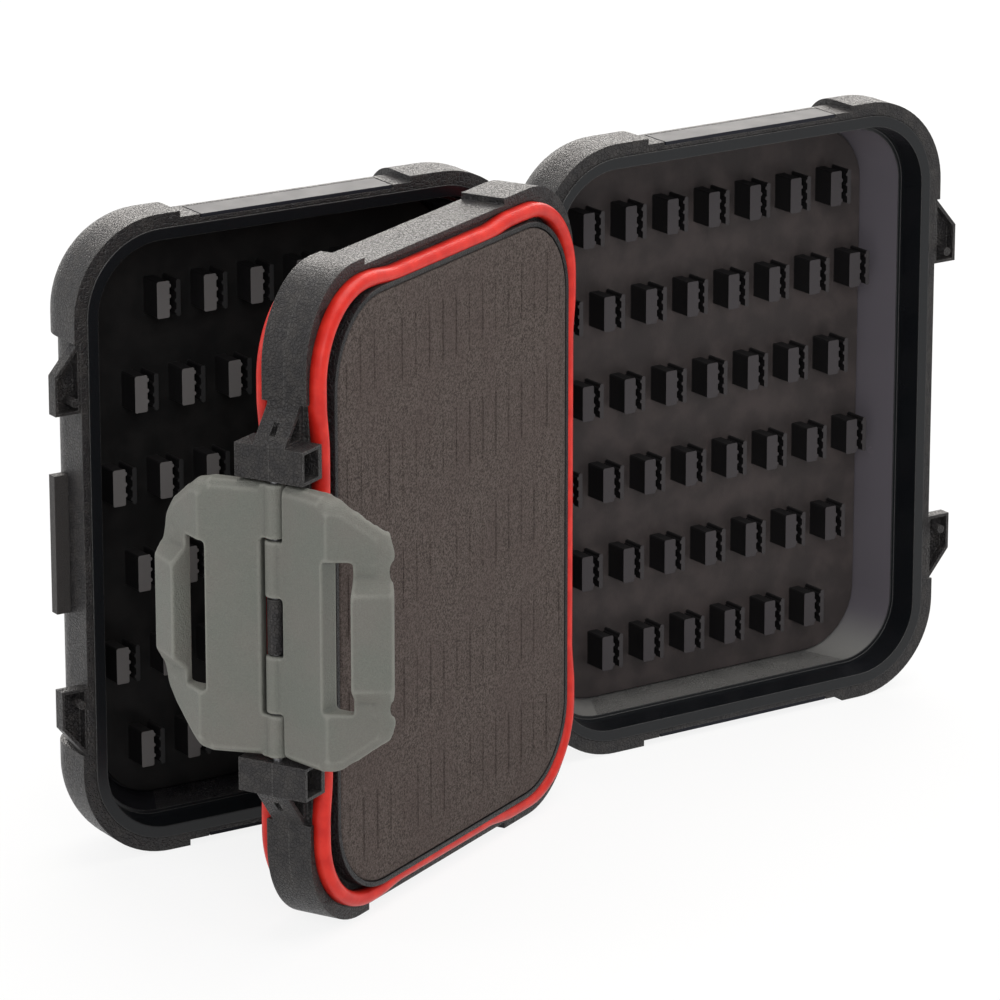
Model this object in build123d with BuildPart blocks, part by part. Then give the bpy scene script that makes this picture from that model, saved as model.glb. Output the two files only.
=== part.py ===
from build123d import *
from math import cos, radians, sin, sqrt
import os

os.makedirs("parts", exist_ok=True)

# The box stands open on one long edge. A leaf's own directions are u, from the hinge line toward the
# latch edge, v along the hinge line, and w outward from the middle leaf. All lengths are millimetres.

# Open angles, measured from the shut box
left_cover_open = 27.6
right_cover_open = 154.2
latch_open = 8.0

# Box
height = 150.0
foot_inset = 20.7

# Middle leaf. Sizes named reach or inset are measured outward or inward from its latch edge.
leaf_latch_edge = 117.0
leaf_half = 5.6
leaf_hinge_edge = 0.8
leaf_corner = 20.5
leaf_step = 1.5
leaf_bumper_hinge_end = 32.4
leaf_bumper_latch_inset = 24.4
leaf_bumper_side_end = 27.3
leaf_floor = 2.0

# Foam pad and the raised lip round it
foam_hinge_edge = 9.7
foam_latch_inset = 7.8
foam_margin = 7.6
foam_corner = 18.5
foam_face = 9.0
foam_gap = 0.1
lip_wall = 1.1
lip_face = 8.7

# Sealing ring: a flat foot in a groove and a bevelled top
ring_width = 3.4
ring_bevel = 1.1
ring_face = 8.6
ring_edge_inset = 3.1
ring_corner = 19.0
ring_gap = 0.1

# Covers
rim_gap = 0.3
rim_step = 0.2
cover_hinge_edge = 2.5
cover_reach = 3.2
cover_corner = 22.0
cover_step = 1.4
cover_back = 28.4
cover_back_step = 0.7
cover_back_round = 10.9
cover_bumper_hinge_end = 33.1
cover_bumper_latch_inset = 24.05
cover_bumper_side_end = 26.8
rim_flat = 1.9
rim_lip = 2.7
mouth_gap = 0.6
cavity_draft = 1.0
ledge_w = 15.6
ledge_width = 0.8
floor_w = 26.0
floor_margin = 8.4
floor_corner = 15.0
flare = 6.0

# Smooth strips let into the top and bottom of each cover
strip_hinge_end = 38.0
strip_latch_inset = 29.4
strip_back = 17.0
strip_thickness = 0.8
strip_gap = 0.35

# Post mats
mat_thickness = 1.0
mat_gap = 0.3
post_rows = 6
post_columns = 8
post_first_inset = 11.0
post_last_edge = 21.1
post_margin = 22.2
post_shift = 0.5
post_width = 5.8
post_length = 8.36
post_height = 6.5
post_thick_wall = 3.1
post_slit = 1.8
tooth_count = 3
tooth_pitch = 2.6
tooth_depth = 0.6

# Hinge: groups of five barrels on a pin
hinge_pin_radius = 1.0
hinge_barrel_radius = 2.0
hinge_clearance = 0.05
hinge_barrel_length = 6.0
hinge_end_gap = 0.3
hinge_group_start = 30.0
hinge_arm_gap = 0.5
hinge_arm_thickness = 2.0
hinge_arm_bend = 7.6
hinge_arm_reach = 12.3

# Lugs and catch rib on the cover's latch side. Sizes named rise are measured along the edge from mid height.
lug_bottom_rise = 32.2
lug_corner_rise = 41.2
lug_top_rise = 48.8
lug_reach = 8.2
lug_gap = 0.35
lug_depth = 3.1
lug_wall = 0.7
lug_slope_wall = 2.1
boss_reach = 4.2
boss_rise = 35.3
boss_radius = 1.0
boss_length = 1.7
rib_face = 16.3
rib_thickness = 2.5
rib_reach = 5.2
rib_half_length = 16.2
rib_root = 1.0

# Latch blocks on the middle leaf
block_reach = 6.5
block_bottom_rise = 31.9
block_top_rise = 39.5
block_rim_gap = 0.3
block_wall = 0.7
block_pocket_depth = 4.5
web_top_rise = 47.7
web_half = 4.0
web_slope_wall = 1.75
web_pocket_depth = 2.4
keyhole_width = 1.4
keyhole_length = 2.6
keyhole_rise = 42.8
keyhole_depth = 1.2

# Latches. Sizes along the plate are measured from the pin, and face heights from the pin's axis.
pin_reach = 4.0
latch_pin_radius = 1.0
latch_clearance = 0.05
latch_barrel_radius = 2.35
latch_pin_end_gap = 0.4
latch_half = 31.0
latch_splits = [-latch_half, -21.0, -7.5, 5.3, 18.5, latch_half]
latch_end_gap = 0.25
latch_plate_start = 3.0
latch_wall_gap = 0.4
latch_seam = 2.24
latch_seam_face = 1.6
latch_fold = 16.9
latch_fold_face = 3.75
latch_tip = 29.3
latch_tip_face = -5.63
latch_wrap_angle = 32.0
latch_straight_end = 17.6
latch_tip_half = 20.0
latch_bevel = 1.4
slot_start = 15.5
slot_back_end = 20.6
slot_back_face = -1.5
slot_half = 17.0
bar_foot = 18.0
bar_foot_face = 1.0
bar_inner = 23.3
bar_inner_face = 3.3
bar_tip = 30.3
bar_tip_face = -2.84
bar_heel = 28.8
bar_heel_face = -5.2
bar_back = 20.0
bar_back_face = -1.9
bar_half = 10.8
bar_shoulder = 14.2
bar_shoulder_rise = 0.45
bar_run_out = 18.6
bar_end_inner = 22.0
bar_end_heel = 28.0
bar_end_heel_face = -6.2
bar_end_sink = 0.2
bar_path_gap = 0.5

# Sizes worked out from the ones above
mid_v = height / 2
foot_u = leaf_latch_edge - foot_inset
hinge_arm_inner = leaf_hinge_edge + leaf_step - hinge_arm_gap
hinge_arm_outer = hinge_arm_inner - hinge_arm_thickness
foam_latch_edge = leaf_latch_edge - foam_latch_inset
groove_w = ring_face - ring_width
rim_w = ring_face + rim_gap
rim_outer_w = rim_w + rim_step
cover_latch_edge = leaf_latch_edge + cover_reach
latch_side_wall = cover_latch_edge - cover_step
core_back = cover_back - cover_back_step
strip_latch_end = leaf_latch_edge - strip_latch_inset
post_first_edge = leaf_latch_edge - post_first_inset
post_pitch_u = (post_first_edge - post_last_edge) / (post_columns - 1)
post_pitch_v = (height - 2 * post_margin) / (post_rows - 1)
lug_edge = leaf_latch_edge + lug_reach
boss_u = leaf_latch_edge + boss_reach
rib_edge = leaf_latch_edge + rib_reach
block_edge = leaf_latch_edge + block_reach
block_half = rim_w - block_rim_gap
latch_pin_u = leaf_latch_edge + pin_reach
pin_half = block_top_rise - latch_pin_end_gap
keyhole_u = block_edge - block_reach * (keyhole_rise - block_top_rise) / (web_top_rise - block_top_rise)


def direction(angle, side):
    """Unit vector of u for a leaf that is `angle` degrees from shut, on side -1 (left) or +1 (right)."""
    return Vector(side * sin(radians(angle)), -cos(radians(angle)), 0)


def left_plane(angle):
    """Plane u, v with w outward: v runs up from the foot."""
    along = direction(angle, -1)
    return Plane(origin=(0, foot_u, 0), x_dir=along, z_dir=along.cross(Vector(0, 0, 1)))


def right_plane(angle):
    """The left plane turned end for end about u: v runs down from the top."""
    along = direction(angle, 1)
    return Plane(origin=(0, foot_u, height), x_dir=along, z_dir=along.cross(Vector(0, 0, -1)))


def section_plane(base, v):
    """Plane u, w across the hinge line at height v. Its normal points toward lower v."""
    return Plane(origin=base.origin + base.y_dir * v, x_dir=base.x_dir, z_dir=-base.y_dir)


def rounded(u0, u1, v0, v1, radius):
    """Rounded rectangle between two corners, in the sketch that is open."""
    with Locations(((u0 + u1) / 2, (v0 + v1) / 2)):
        RectangleRounded(u1 - u0, v1 - v0, radius)


def block(u0, u1, v0, v1, mode=Mode.ADD):
    """Plain rectangle between two corners, in the sketch that is open."""
    with Locations(((u0 + u1) / 2, (v0 + v1) / 2)):
        Rectangle(u1 - u0, v1 - v0, mode=mode)


hinge_group_length = 5 * hinge_barrel_length
hinge_groups = [hinge_group_start, height - hinge_group_start - hinge_group_length]

middle = left_plane(0)


# Frame half: band with proud corner bumpers, raised lip, groove, latch block halves, barrel halves
def add_leaf_outline():
    """Outline of the band: recessed edges with a proud bumper round each corner."""
    rounded(leaf_hinge_edge + leaf_step, leaf_latch_edge - leaf_step, leaf_step, height - leaf_step,
            leaf_corner - leaf_step)
    with BuildSketch(mode=Mode.PRIVATE) as bumpers:
        rounded(leaf_hinge_edge, leaf_latch_edge, 0, height, leaf_corner)
        block(leaf_bumper_hinge_end, leaf_latch_edge - leaf_bumper_latch_inset, 0, height, Mode.SUBTRACT)
        block(leaf_hinge_edge, leaf_latch_edge, leaf_bumper_side_end, height - leaf_bumper_side_end,
              Mode.SUBTRACT)
    add(bumpers.sketch_local)


def lip_outline(grow):
    """Outline of the foam pad grown outward by `grow`."""
    rounded(foam_hinge_edge - grow, foam_latch_edge + grow, foam_margin - grow, height - foam_margin + grow,
            foam_corner + grow)


def ring_outline(grow):
    """Centreline of the sealing ring grown outward by `grow`. It follows the band's outline."""
    hinge_side = leaf_hinge_edge + leaf_step + ring_edge_inset
    margin = leaf_step + ring_edge_inset
    rounded(hinge_side - grow, leaf_latch_edge - ring_edge_inset + grow, margin - grow,
            height - margin + grow, ring_corner + grow)


with BuildPart() as frame_half_left:
    with BuildSketch(middle):
        add_leaf_outline()
    extrude(amount=leaf_half)
    with BuildSketch(middle):
        lip_outline(foam_gap + lip_wall)
    extrude(amount=lip_face)
    # pocket of the foam pad
    with BuildSketch(middle.offset(leaf_floor)):
        lip_outline(foam_gap)
    extrude(amount=lip_face, mode=Mode.SUBTRACT)
    # groove of the sealing ring
    with BuildSketch(middle.offset(groove_w)):
        ring_outline(ring_width / 2 + ring_gap)
        with BuildSketch(mode=Mode.PRIVATE) as lip_island:
            lip_outline(foam_gap + lip_wall)
        add(lip_island.sketch_local, mode=Mode.SUBTRACT)
    extrude(amount=lip_face, mode=Mode.SUBTRACT)
    # latch blocks, their sloping webs, side pockets and keyholes, upper and lower alike
    ring_side = leaf_latch_edge - ring_edge_inset + ring_width / 2 + ring_gap
    root = leaf_latch_edge - 2 * leaf_step
    for v_sign in (1, -1):
        low_v = mid_v + min(v_sign * block_bottom_rise, v_sign * block_top_rise)
        high_v = mid_v + max(v_sign * block_bottom_rise, v_sign * block_top_rise)
        block_top = mid_v + v_sign * block_top_rise
        web_top = mid_v + v_sign * web_top_rise
        with BuildSketch(middle):
            block(root, block_edge, low_v, high_v)
        extrude(amount=groove_w)
        with BuildSketch(middle):
            block(ring_side, block_edge, low_v, high_v)
        extrude(amount=block_half)
        with BuildSketch(middle.offset(block_half)):
            block(leaf_latch_edge, block_edge - block_wall, low_v + block_wall, high_v - block_wall)
        extrude(amount=-block_pocket_depth, mode=Mode.SUBTRACT)
        with BuildSketch(middle):
            with BuildLine():
                Polyline((root, block_top), (block_edge, block_top), (leaf_latch_edge, web_top),
                         (root, web_top), close=True)
            make_face()
        extrude(amount=web_half)
        with BuildSketch(middle.offset(web_half)):
            with BuildLine():
                Polyline((leaf_latch_edge, block_top + v_sign * block_wall),
                         (block_edge - web_slope_wall, block_top + v_sign * block_wall),
                         (leaf_latch_edge, web_top - v_sign * web_slope_wall), close=True)
            make_face()
        extrude(amount=-web_pocket_depth, mode=Mode.SUBTRACT)
        with BuildSketch(middle):
            with Locations((keyhole_u, mid_v + v_sign * keyhole_rise)):
                Rectangle(2 * keyhole_depth, keyhole_length)
        extrude(amount=keyhole_width / 2, mode=Mode.SUBTRACT)
    # middle knuckle of the latch pin
    with BuildSketch(section_plane(middle, mid_v + latch_splits[3] - latch_end_gap)):
        with Locations((latch_pin_u, 0)):
            Circle(hinge_barrel_radius)
        block(leaf_latch_edge - 2 * leaf_step, latch_pin_u, 0, hinge_barrel_radius)
        block(leaf_latch_edge, latch_pin_u + latch_barrel_radius, -latch_barrel_radius, 0, Mode.SUBTRACT)
    extrude(amount=latch_splits[3] - latch_splits[2] - 2 * latch_end_gap)
    # hinge barrels
    for start in hinge_groups:
        for index in (0, 2, 4):
            low = start + index * hinge_barrel_length
            with BuildSketch(section_plane(middle, low + hinge_barrel_length - hinge_end_gap / 2)):
                Circle(hinge_barrel_radius)
                block(0, leaf_hinge_edge + 2 * leaf_step, 0, hinge_barrel_radius)
                block(-hinge_barrel_radius, hinge_barrel_radius, -hinge_barrel_radius, 0, Mode.SUBTRACT)
            extrude(amount=hinge_barrel_length - hinge_end_gap)
        with BuildSketch(section_plane(middle, start + hinge_group_length)):
            Circle(hinge_pin_radius)
        extrude(amount=hinge_group_length, mode=Mode.SUBTRACT)
    # bore of the latch pin through both blocks and the middle knuckle
    with BuildSketch(section_plane(middle, mid_v + pin_half)):
        with Locations((latch_pin_u, 0)):
            Circle(latch_pin_radius)
    extrude(amount=2 * pin_half, mode=Mode.SUBTRACT)

with BuildPart() as frame_half_right:
    mirror(frame_half_left.part, about=Plane.YZ)


# Foam pads and sealing rings
with BuildPart() as foam_pad_left:
    with BuildSketch(middle.offset(leaf_floor)):
        lip_outline(0)
    extrude(amount=foam_face - leaf_floor)

with BuildPart() as foam_pad_right:
    mirror(foam_pad_left.part, about=Plane.YZ)

with BuildPart() as gasket_left:
    with BuildSketch(middle.offset(groove_w)):
        ring_outline(ring_width / 2)
        with BuildSketch(mode=Mode.PRIVATE) as ring_inside:
            ring_outline(-ring_width / 2)
        add(ring_inside.sketch_local, mode=Mode.SUBTRACT)
    extrude(amount=ring_width)
    chamfer(gasket_left.faces().sort_by(Axis.X)[0].edges(), length=ring_bevel)

with BuildPart() as gasket_right:
    mirror(gasket_left.part, about=Plane.YZ)


# Pins
def hinge_pin(start):
    """Steel pin through one group of hinge barrels."""
    with BuildPart() as pin:
        with BuildSketch(section_plane(middle, start + hinge_group_length)):
            Circle(hinge_pin_radius)
        extrude(amount=hinge_group_length)
    return pin


hinge_pin_lower = hinge_pin(hinge_groups[0])
hinge_pin_upper = hinge_pin(hinge_groups[1])

with BuildPart() as latch_pin:
    with BuildSketch(section_plane(middle, mid_v + pin_half)):
        with Locations((latch_pin_u, 0)):
            Circle(latch_pin_radius)
    extrude(amount=2 * pin_half)


# Cover shell
def cover_box(base, u0, u1, v0, v1, radius, back):
    """Rounded box from the rim to the back, with its back edge rounded over."""
    with BuildPart(mode=Mode.PRIVATE) as box:
        with BuildSketch(base.offset(rim_outer_w)):
            rounded(u0, u1, v0, v1, radius)
        extrude(amount=back - rim_outer_w)
        back_face = box.faces().sort_by(Axis(base.origin, base.z_dir))[-1]
        fillet(back_face.edges(), radius=cover_back_round)
    return box.part


def cover_shell(base):
    core_u0 = cover_hinge_edge + cover_step
    core = cover_box(base, core_u0, latch_side_wall, cover_step, height - cover_step,
                     cover_corner - cover_step, core_back)
    bumpers = cover_box(base, cover_hinge_edge, cover_latch_edge, 0, height, cover_corner, cover_back)
    lip_inset = rim_flat + rim_lip
    mouth_u0 = foam_hinge_edge - foam_gap - lip_wall - mouth_gap
    mouth_u1 = latch_side_wall - lip_inset
    mouth_v0 = cover_step + lip_inset
    mouth_radius = cover_corner - cover_step - lip_inset
    with BuildPart() as shell:
        add(bumpers)
        with BuildSketch(base.offset(rim_outer_w)):
            block(cover_bumper_hinge_end, leaf_latch_edge - cover_bumper_latch_inset, 0, height)
            block(cover_hinge_edge, cover_latch_edge, cover_bumper_side_end,
                  height - cover_bumper_side_end)
        extrude(amount=cover_back, mode=Mode.SUBTRACT)
        add(core)
        # inner lip of the rim, which meets the sealing ring
        with BuildSketch(base.offset(rim_w)):
            rounded(core_u0 + rim_flat, latch_side_wall - rim_flat, cover_step + rim_flat,
                    height - cover_step - rim_flat, cover_corner - cover_step - rim_flat)
        extrude(amount=rim_lip)
        # lug with its pin, and the one turned end for end
        for v_sign in (1, -1):
            lug_bottom = mid_v + v_sign * lug_bottom_rise
            lug_corner = mid_v + v_sign * lug_corner_rise
            lug_top = mid_v + v_sign * lug_top_rise
            with BuildSketch(base.offset(rim_w + lug_gap)):
                with BuildLine():
                    Polyline((latch_side_wall - lug_wall, lug_bottom), (lug_edge, lug_bottom),
                             (lug_edge, lug_corner), (latch_side_wall, lug_top),
                             (latch_side_wall - lug_wall, lug_top), close=True)
                make_face()
            extrude(amount=lug_depth)
            with BuildSketch(base.offset(rim_w + lug_gap)):
                with BuildLine():
                    Polyline((latch_side_wall + lug_wall, lug_bottom + v_sign * lug_wall),
                             (lug_edge - lug_wall, lug_bottom + v_sign * lug_wall),
                             (lug_edge - lug_wall, lug_corner - v_sign * lug_wall / 2),
                             (latch_side_wall + lug_wall, lug_top - v_sign * lug_slope_wall), close=True)
                make_face()
            extrude(amount=lug_depth - lug_wall, mode=Mode.SUBTRACT)
            with BuildSketch(base.offset(rim_w - boss_length)):
                with Locations((boss_u, mid_v + v_sign * boss_rise)):
                    Circle(boss_radius)
            extrude(amount=boss_length + lug_gap + lug_depth - lug_wall / 2)
            # bed of the smooth strip
            strip_v = mid_v + v_sign * (mid_v - cover_step - strip_thickness / 2)
            with BuildSketch(base.offset(rim_outer_w)):
                with Locations(((strip_hinge_end + strip_latch_end) / 2, strip_v)):
                    Rectangle(strip_latch_end - strip_hinge_end + 2 * strip_gap, strip_thickness)
            extrude(amount=strip_back + strip_gap - rim_outer_w, mode=Mode.SUBTRACT)
        # seat of the catch rib
        with BuildSketch(base.offset(rib_face)):
            block(latch_side_wall - rib_root, rib_edge, mid_v - rib_half_length, mid_v + rib_half_length)
        extrude(amount=rib_thickness, mode=Mode.SUBTRACT)
        # mouth of the tray down to the ledge
        with BuildSketch(base.offset(rim_w)):
            rounded(mouth_u0, mouth_u1, mouth_v0, height - mouth_v0, mouth_radius)
        with BuildSketch(base.offset(ledge_w)):
            rounded(mouth_u0 + cavity_draft, mouth_u1 - cavity_draft, mouth_v0 + cavity_draft,
                    height - mouth_v0 - cavity_draft, mouth_radius - cavity_draft)
        loft(mode=Mode.SUBTRACT)
        # flared wall from the ledge to the floor
        ledge = cavity_draft + ledge_width
        with BuildSketch(base.offset(ledge_w)):
            rounded(mouth_u0 + ledge, mouth_u1 - ledge, mouth_v0 + ledge,
                    height - mouth_v0 - ledge, mouth_radius - ledge)
        with BuildSketch(base.offset(floor_w)):
            rounded(mouth_u0 + flare, mouth_u1 - flare, floor_margin, height - floor_margin, floor_corner)
        loft(mode=Mode.SUBTRACT)
        # hinge barrels on arms from the hinge side wall
        for start in hinge_groups:
            low = start + hinge_barrel_length
            with BuildSketch(section_plane(base, low + hinge_barrel_length - hinge_end_gap / 2)):
                Circle(hinge_barrel_radius)
                with BuildLine():
                    Polyline((hinge_arm_outer, 0), (hinge_arm_outer, hinge_arm_bend),
                             (core_u0 + rim_flat, hinge_arm_reach), (core_u0 + rim_flat, rim_outer_w),
                             (hinge_arm_inner, rim_outer_w), (hinge_arm_inner, 0), close=True)
                make_face()
                Circle(hinge_pin_radius + hinge_clearance, mode=Mode.SUBTRACT)
            extrude(amount=hinge_barrel_length - hinge_end_gap)
    return shell


left_base = left_plane(left_cover_open)
right_base = right_plane(right_cover_open)
cover_shell_left = cover_shell(left_base)
cover_shell_right = cover_shell(right_base)


# Catch ribs
def catch_rib(base):
    """Strip that stands out of the cover's latch side, its root let into the wall."""
    with BuildPart() as rib:
        with BuildSketch(base.offset(rib_face)):
            block(latch_side_wall - rib_root, rib_edge, mid_v - rib_half_length, mid_v + rib_half_length)
        extrude(amount=rib_thickness)
    return rib


catch_rib_left = catch_rib(left_base)
catch_rib_right = catch_rib(right_base)


# Smooth strips
def smooth_strip(base, v_sign):
    """Strip let flush into the recess of the cover's end, at the low end of v for -1."""
    with BuildPart() as strip:
        with BuildSketch(base.offset(rim_outer_w)):
            with Locations(((strip_hinge_end + strip_latch_end) / 2,
                            mid_v + v_sign * (mid_v - cover_step - strip_thickness / 2))):
                Rectangle(strip_latch_end - strip_hinge_end, strip_thickness)
        extrude(amount=strip_back - rim_outer_w)
    return strip


top_strip_left = smooth_strip(left_base, 1)
bottom_strip_left = smooth_strip(left_base, -1)
top_strip_right = smooth_strip(right_base, -1)
bottom_strip_right = smooth_strip(right_base, 1)


# Post mats
def wall_with_teeth(u_back, u_face, toward, v_centre, shift):
    """One wall of a post with a toothed slit face; `toward` is the way that the teeth point."""
    half = post_length / 2
    low_v = v_centre + shift - tooth_count * tooth_pitch / 2
    points = [(u_back, v_centre - half), (u_face, v_centre - half), (u_face, low_v)]
    for tooth in range(tooth_count):
        points.append((u_face + toward * tooth_depth, low_v + (tooth + 1 / 2) * tooth_pitch))
        points.append((u_face, low_v + (tooth + 1) * tooth_pitch))
    points += [(u_face, v_centre + half), (u_back, v_centre + half)]
    Polygon(*points, align=None)


def post(u_latch_edge, v_centre, thick_on_latch_side):
    """Both walls of one post, the thick one on the latch side or on the hinge side."""
    u_hinge_edge = u_latch_edge - post_width
    shift = (post_length - tooth_count * tooth_pitch) / 4
    if thick_on_latch_side:
        face = u_latch_edge - post_thick_wall
        wall_with_teeth(u_latch_edge, face, -1, v_centre, shift)
        wall_with_teeth(u_hinge_edge, face - post_slit, 1, v_centre, -shift)
    else:
        face = u_hinge_edge + post_thick_wall
        wall_with_teeth(u_hinge_edge, face, 1, v_centre, shift)
        wall_with_teeth(u_latch_edge, face + post_slit, -1, v_centre, -shift)


def post_mat(base, row_centre, thick_on_latch_side):
    """Rubber mat on the tray's floor. Alternate rows are set back by half a pitch."""
    mat_u0 = foam_hinge_edge - foam_gap - lip_wall - mouth_gap + flare + mat_gap
    mat_u1 = latch_side_wall - rim_flat - rim_lip - flare - mat_gap
    mat_v = floor_margin + mat_gap
    first_v = row_centre + (post_rows - 1) / 2 * post_pitch_v
    with BuildPart() as mat:
        with BuildSketch(base.offset(floor_w)):
            rounded(mat_u0, mat_u1, mat_v, height - mat_v, floor_corner - mat_gap)
        extrude(amount=-mat_thickness)
        with BuildSketch(base.offset(floor_w - mat_thickness)):
            for row in range(post_rows):
                set_back = row % 2
                columns = post_columns - set_back
                for column in range(columns):
                    corner_post = row == 0 and column in (0, columns - 1)
                    if not corner_post:
                        u_edge = post_first_edge - (column + set_back / 2) * post_pitch_u
                        post(u_edge, first_v - row * post_pitch_v, thick_on_latch_side)
        extrude(amount=-post_height)
    return mat


post_mat_left = post_mat(left_base, mid_v - post_shift, True)
post_mat_right = post_mat(right_base, mid_v + post_shift, False)


# Latches. Their own directions are r, from the pin along the plate, o out of the plate's face, and z.
def latch_plane(side, angle):
    """Plane r, o across the pin at mid height; the right latch is the left one turned over."""
    along = Vector(side * cos(radians(angle)), -sin(radians(angle)), 0)
    return Plane(origin=(0, foot_u - latch_pin_u, mid_v), x_dir=along, z_dir=(0, 0, -side))


def latch_profile():
    """Flat plate whose outer part folds back round the cover's rounded back edge."""
    round_r = core_back - cover_back_round
    round_o = latch_side_wall - cover_back_round - latch_pin_u
    underside = latch_side_wall + latch_wall_gap - latch_pin_u
    with BuildSketch(mode=Mode.PRIVATE) as profile:
        with BuildLine():
            wrap = CenterArc((round_r, round_o), cover_back_round + latch_wall_gap, latch_wrap_angle,
                             90 - latch_wrap_angle)
            Polyline(wrap @ 1, (latch_plate_start, underside),
                     (latch_plate_start, plate_face(latch_plate_start)), (latch_fold, latch_fold_face),
                     (latch_tip, latch_tip_face), wrap @ 0)
        make_face()
    add(profile.sketch_local)


def plate_face(r):
    """Height of the plate's front face above the pin's axis, r from the pin."""
    slope = (latch_fold_face - latch_seam_face) / (latch_fold - latch_seam)
    return latch_seam_face + slope * (r - latch_seam)


def bevel_face(r):
    """Height of the folded part's front face."""
    slope = (latch_tip_face - latch_fold_face) / (latch_tip - latch_fold)
    return latch_fold_face + slope * (r - latch_fold)


def bar_section():
    """Full section of the raised bar."""
    Polygon((bar_foot, bar_foot_face), (bar_inner, bar_inner_face), (bar_tip, bar_tip_face),
            (bar_heel, bar_heel_face), (bar_back, bar_back_face), align=None)


def rib_path(r):
    """Height that the catch rib reaches as its cover swings shut under the latch left at rest."""
    reach = sqrt(rib_edge ** 2 + (rib_face + rib_thickness) ** 2) + bar_path_gap
    turn = radians(latch_open)
    to_pin = latch_pin_u * cos(turn)
    beyond = r ** 2 + latch_pin_u ** 2 + 2 * latch_pin_u * r * sin(turn) - reach ** 2
    return sqrt(to_pin ** 2 - beyond) - to_pin


def low_bar_section(tip_height):
    """The bar's section where only its tip still stands above the plate, or is sunk in it."""
    Polygon((bar_foot, bar_foot_face), (bar_end_inner, bevel_face(bar_end_inner) - bar_end_sink),
            (latch_tip - bar_end_sink, tip_height), (bar_end_heel, bar_end_heel_face),
            (bar_back, bar_back_face), align=None)


def latch(side, knuckles):
    """A latch with its knuckles between the given heights above mid height."""
    latch_end = bar_tip + latch_bevel
    shoulder_tip = rib_path(latch_tip) + bar_shoulder_rise
    base = latch_plane(side, latch_open)
    face_plane = Plane(origin=base.origin, x_dir=base.x_dir, z_dir=-base.y_dir)
    with BuildPart() as plate:
        with BuildSketch(base):
            latch_profile()
        extrude(amount=latch_half, both=True)
        with BuildSketch(face_plane):
            with BuildLine():
                Polyline((0, latch_half), (latch_straight_end, latch_half), (bar_tip, latch_tip_half),
                         (bar_tip, -latch_tip_half), (latch_straight_end, -latch_half),
                         (0, -latch_half), close=True)
            make_face()
        extrude(amount=latch_tip, both=True, mode=Mode.INTERSECT)
        # bevel round the front, except along the seam, the fold and the tip
        front = plate.faces().filter_by(lambda face: face.normal_at().dot(base.y_dir) > 1 / 2)
        chamfer(front.edges().filter_by(Axis.Z, reverse=True), length=latch_bevel)
        # raised bar over the slot
        with BuildSketch(base):
            bar_section()
        extrude(amount=bar_half, both=True)
        for end in (-1, 1):
            with BuildSketch(base.offset(end * bar_half)):
                bar_section()
            with BuildSketch(base.offset(end * bar_shoulder)):
                low_bar_section(shoulder_tip)
            loft()
            with BuildSketch(base.offset(end * bar_shoulder)):
                low_bar_section(shoulder_tip)
            extrude(amount=end * (slot_half - bar_shoulder))
            with BuildSketch(base.offset(end * slot_half)):
                low_bar_section(shoulder_tip)
            with BuildSketch(base.offset(end * bar_run_out)):
                low_bar_section(bevel_face(latch_tip) - bar_end_sink)
            loft()
        # slot
        with BuildSketch(base):
            with BuildLine():
                Polyline((slot_start, -latch_tip), (slot_start, latch_tip), (bar_inner, latch_tip),
                         (bar_inner, bar_inner_face), (slot_back_end, slot_back_face),
                         (slot_back_end, -latch_tip), close=True)
            make_face()
        extrude(amount=slot_half, both=True, mode=Mode.SUBTRACT)
        # way for the catch rib under the bar
        with BuildSketch(base):
            with BuildLine():
                Polyline((slot_start, -latch_tip), (slot_start, rib_path(slot_start)),
                         (slot_back_end, rib_path(slot_back_end)), (bar_tip, rib_path(bar_tip)),
                         (latch_end, rib_path(latch_end)), (latch_end, -latch_tip), close=True)
            make_face()
        extrude(amount=slot_half, both=True, mode=Mode.SUBTRACT)
        # knuckles
        for low, high in knuckles:
            z0, z1 = sorted((-side * low, -side * high))
            z0 += latch_end_gap if z0 > -latch_half else 0
            z1 -= latch_end_gap if z1 < latch_half else 0
            with BuildSketch(base.offset(z0)):
                Circle(latch_barrel_radius)
                block(0, latch_plate_start + latch_clearance, latch_side_wall + latch_wall_gap - latch_pin_u,
                      latch_seam_face)
                Circle(latch_pin_radius + latch_clearance, mode=Mode.SUBTRACT)
            extrude(amount=z1 - z0)
    return plate


latch_left = latch(-1, [(latch_splits[4], latch_splits[5]), (latch_splits[0], latch_splits[1])])
latch_right = latch(1, [(latch_splits[3], latch_splits[4]), (latch_splits[1], latch_splits[2])])


pieces = {
    "frame_half_left": frame_half_left,
    "frame_half_right": frame_half_right,
    "gasket_left": gasket_left,
    "gasket_right": gasket_right,
    "foam_pad_left": foam_pad_left,
    "foam_pad_right": foam_pad_right,
    "hinge_pin_lower": hinge_pin_lower,
    "hinge_pin_upper": hinge_pin_upper,
    "latch_pin": latch_pin,
    "cover_shell_left": cover_shell_left,
    "cover_shell_right": cover_shell_right,
    "catch_rib_left": catch_rib_left,
    "catch_rib_right": catch_rib_right,
    "top_strip_left": top_strip_left,
    "bottom_strip_left": bottom_strip_left,
    "top_strip_right": top_strip_right,
    "bottom_strip_right": bottom_strip_right,
    "post_mat_left": post_mat_left,
    "post_mat_right": post_mat_right,
    "latch_left": latch_left,
    "latch_right": latch_right,
}
for name, piece in pieces.items():
    piece.part.label = name
    export_step(piece.part, f"parts/{name}.step")
    print(name, len(piece.part.solids()), round(piece.part.volume, 1))
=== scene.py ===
import bmesh
import bpy
import math
import numpy as np
from mathutils import Matrix, Vector


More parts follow.
